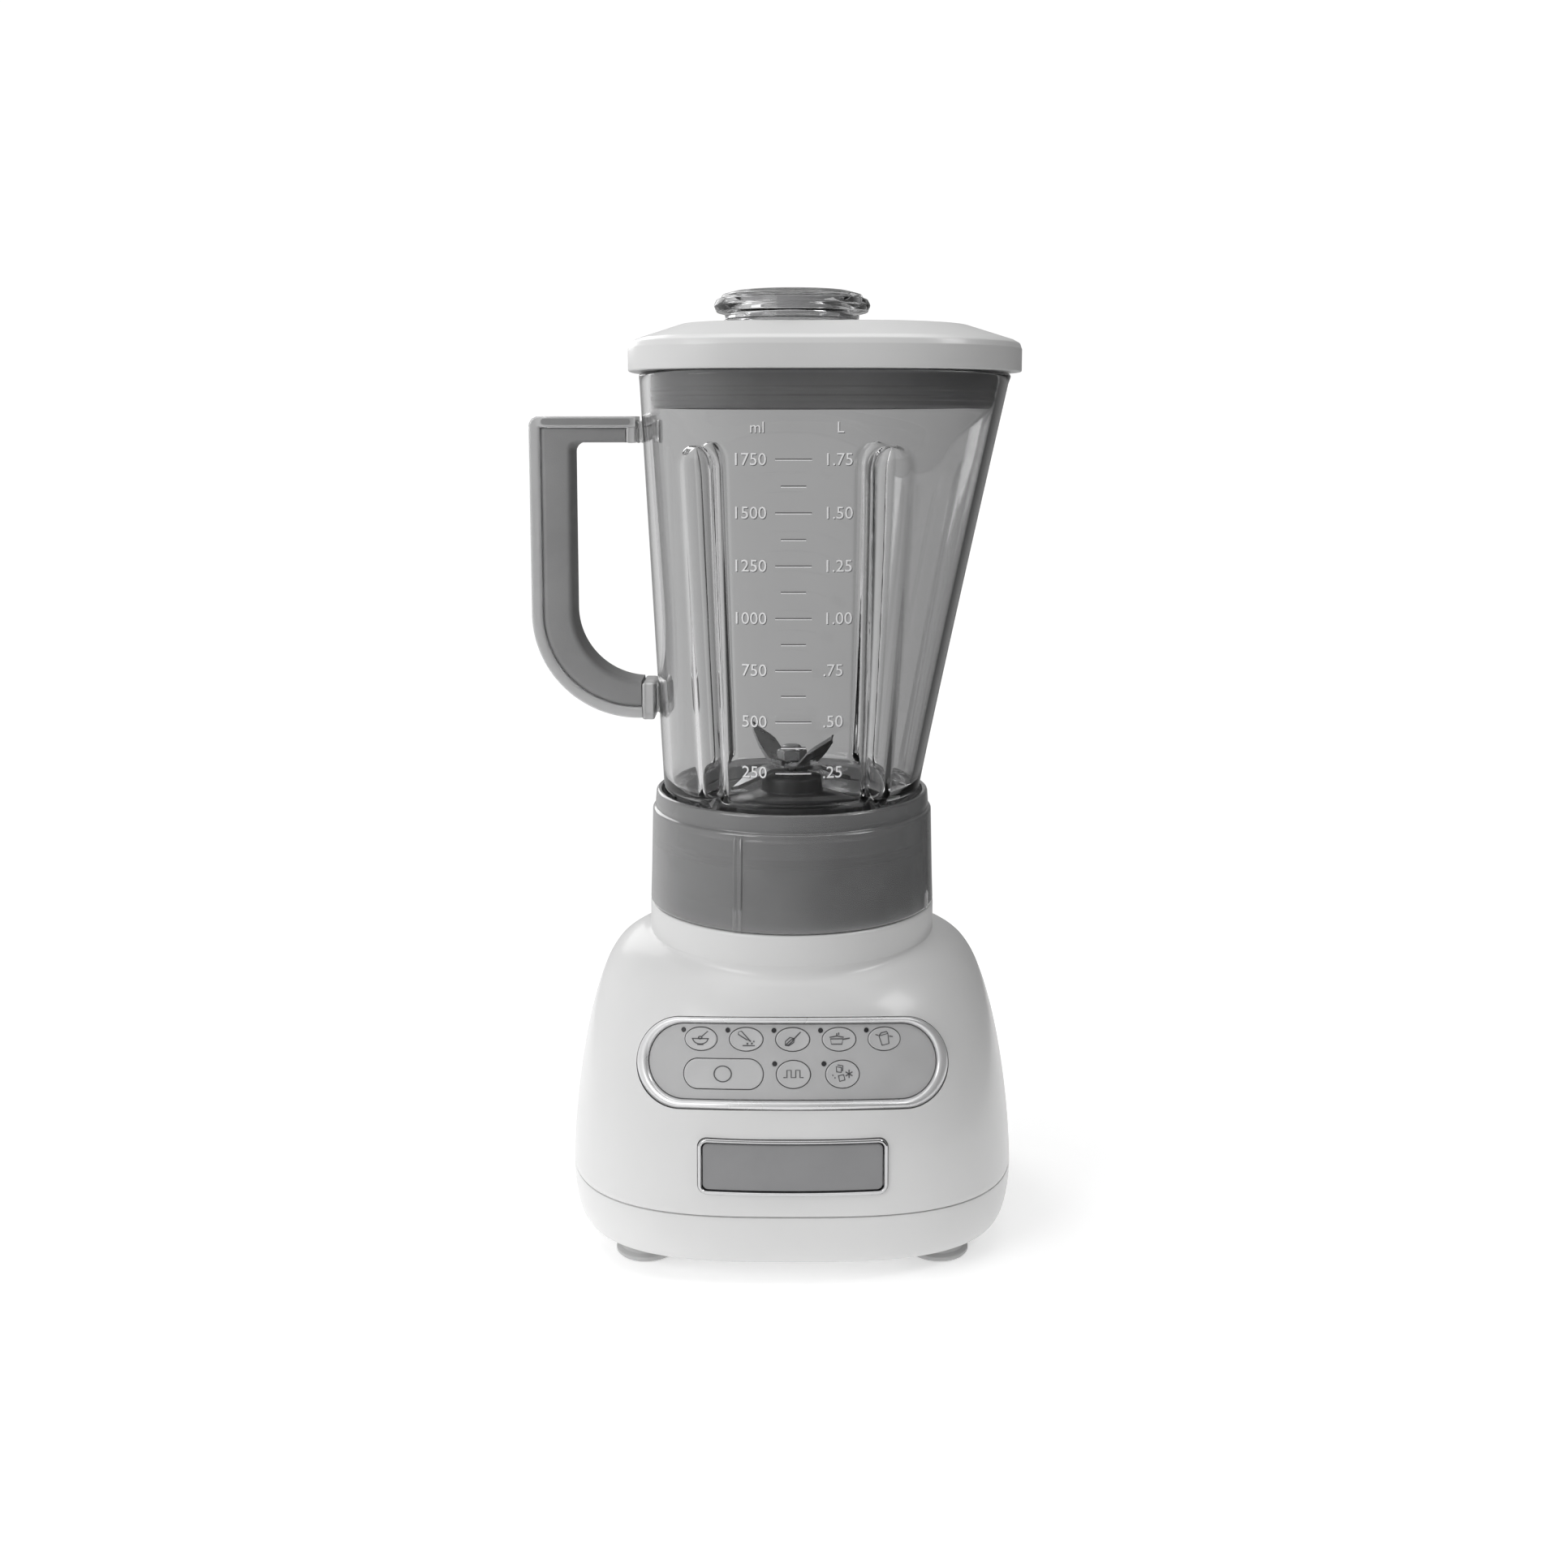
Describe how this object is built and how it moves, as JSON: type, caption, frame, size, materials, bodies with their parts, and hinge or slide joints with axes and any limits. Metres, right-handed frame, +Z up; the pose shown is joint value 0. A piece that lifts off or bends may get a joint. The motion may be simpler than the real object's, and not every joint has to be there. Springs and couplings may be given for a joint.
{
  "type": "countertop blender",
  "caption": "Countertop blender: white motor base with a push-button panel, smoky locking collar, clear spouted jar with a D-shaped handle, faceted white lid and clear measuring cap.",
  "frame": {"origin": "on the motor's axis at the surface that the feet stand on", "axes": "+Z up along the motor's axis, front towards -Y, handle towards -X, spout towards +X"},
  "size_m": [0.2079, 0.1853, 0.4],
  "materials": {
    "white_shell": "satin gloss white",
    "satin_silver": "satin silver paint",
    "panel_film": "fine matt grey",
    "badge_face": "satin grey",
    "badge_rim": "polished",
    "clear_jar": "clear",
    "clear_cap": "clear, slightly smoky",
    "smoky_collar": "smoky translucent",
    "soft_grip": "soft grey",
    "seal_rubber": "grey",
    "dark_rubber": "dark",
    "foot_rubber": "light grey",
    "blade_base": "black",
    "blade_steel": "ground",
    "plain_steel": "bright",
    "lamination": "stacked steel",
    "copper_wire": "enamelled copper",
    "bronze": "sintered bronze",
    "carbon": "graphite",
    "resin": "phenolic",
    "board": "solder mask",
    "dark_plastic": "moulded",
    "key_cap": "fine matt grey",
    "indicator": "unlit lens"
  },
  "bodies": {
    "base": {"upper_housing": "white_shell", "lower_housing": "white_shell", "feet": "foot_rubber", "base_screws": "plain_steel", "jar_seat_pad": "dark_rubber", "cord_gland": "dark_rubber", "control_bezel": "satin_silver", "control_panel": "panel_film", "button_board": "board", "tact_switches": "dark_plastic", "led_indicators": "indicator", "badge_frame": "badge_rim", "badge_plate": "badge_face", "stator_core": "lamination", "stator_coils": "copper_wire", "motor_bracket_upper": "plain_steel", "motor_bracket_lower": "plain_steel", "motor_mounts": "dark_rubber", "bearing_upper": "plain_steel", "bearing_lower": "plain_steel", "brush_holders": "resin", "carbon_brushes": "carbon", "brush_springs": "plain_steel", "speed_board": "board", "power_board_parts": "dark_plastic"},
    "armature": {"motor_shaft": "plain_steel", "armature_core": "lamination", "armature_windings": "copper_wire", "commutator": "copper_wire", "cooling_fan": "dark_plastic", "drive_coupler": "dark_rubber"},
    "collar": {"locking_collar": "smoky_collar", "blade_housing": "blade_base", "jar_gasket": "dark_rubber", "spindle_bushings": "bronze", "spindle_seal": "dark_rubber"},
    "blades": {"blade_shaft": "blade_steel", "blade_upper": "blade_steel", "blade_lower": "blade_steel", "blade_spacer": "blade_steel", "blade_nut": "blade_steel", "driven_coupler": "dark_rubber"},
    "jar": {"jar_body": "clear_jar", "handle_frame": "clear_jar", "handle_grip": "soft_grip"},
    "lid": {"lid": "white_shell", "lid_seal": "seal_rubber"},
    "cap": {"measuring_cap": "clear_cap"},
    "button_stir": {"button_stir": "key_cap"},
    "button_chop": {"button_chop": "key_cap"},
    "button_mix": {"button_mix": "key_cap"},
    "button_puree": {"button_puree": "key_cap"},
    "button_liquefy": {"button_liquefy": "key_cap"},
    "button_pulse": {"button_pulse": "key_cap"},
    "button_ice": {"button_ice": "key_cap"},
    "button_off": {"button_off": "key_cap"}
  },
  "joints": [
    {"name": "motor_spin", "type": "hinge", "parent": "base", "child": "armature", "pos_m": [0, 0, 0.07], "axis": [0, 0, 1], "continuous": true},
    {"name": "jar_lift", "type": "slide", "parent": "base", "child": "collar", "axis": [0, 0, 1], "range_m": [0, 0.08]},
    {"name": "blade_spin", "type": "hinge", "parent": "collar", "child": "blades", "pos_m": [0, 0, 0.18], "axis": [0, 0, 1], "continuous": true},
    {"name": "jar_twist", "type": "hinge", "parent": "collar", "child": "jar", "pos_m": [0, 0, 0.18], "axis": [0, 0, 1], "range_deg": [0, 30]},
    {"name": "lid_lift", "type": "slide", "parent": "jar", "child": "lid", "axis": [0, 0, 1], "range_m": [0, 0.05]},
    {"name": "cap_lift", "type": "slide", "parent": "lid", "child": "cap", "axis": [0, 0, 1], "range_m": [0, 0.06]},
    {"name": "press_stir", "type": "slide", "parent": "base", "child": "button_stir", "axis": [0.2735, 0.9189, -0.2844], "range_m": [0, 0.0008], "stiffness_N_per_m": 500},
    {"name": "press_chop", "type": "slide", "parent": "base", "child": "button_chop", "axis": [0.1381, 0.9461, -0.2929], "range_m": [0, 0.0008], "stiffness_N_per_m": 500},
    {"name": "press_mix", "type": "slide", "parent": "base", "child": "button_mix", "axis": [0, 0.9553, -0.2957], "range_m": [0, 0.0008], "stiffness_N_per_m": 500},
    {"name": "press_puree", "type": "slide", "parent": "base", "child": "button_puree", "axis": [-0.1381, 0.9461, -0.2929], "range_m": [0, 0.0008], "stiffness_N_per_m": 500},
    {"name": "press_liquefy", "type": "slide", "parent": "base", "child": "button_liquefy", "axis": [-0.2735, 0.9189, -0.2844], "range_m": [0, 0.0008], "stiffness_N_per_m": 500},
    {"name": "press_pulse", "type": "slide", "parent": "base", "child": "button_pulse", "axis": [-0.0022, 0.9553, -0.2957], "range_m": [0, 0.0008], "stiffness_N_per_m": 500},
    {"name": "press_ice", "type": "slide", "parent": "base", "child": "button_ice", "axis": [-0.1476, 0.9448, -0.2925], "range_m": [0, 0.0008], "stiffness_N_per_m": 500},
    {"name": "press_off", "type": "slide", "parent": "base", "child": "button_off", "axis": [0.2074, 0.9345, -0.2893], "range_m": [0, 0.0008], "stiffness_N_per_m": 500}
  ],
  "couplings": [
    {"joint": "blade_spin", "follows": "motor_spin", "ratio": 1}
  ]
}
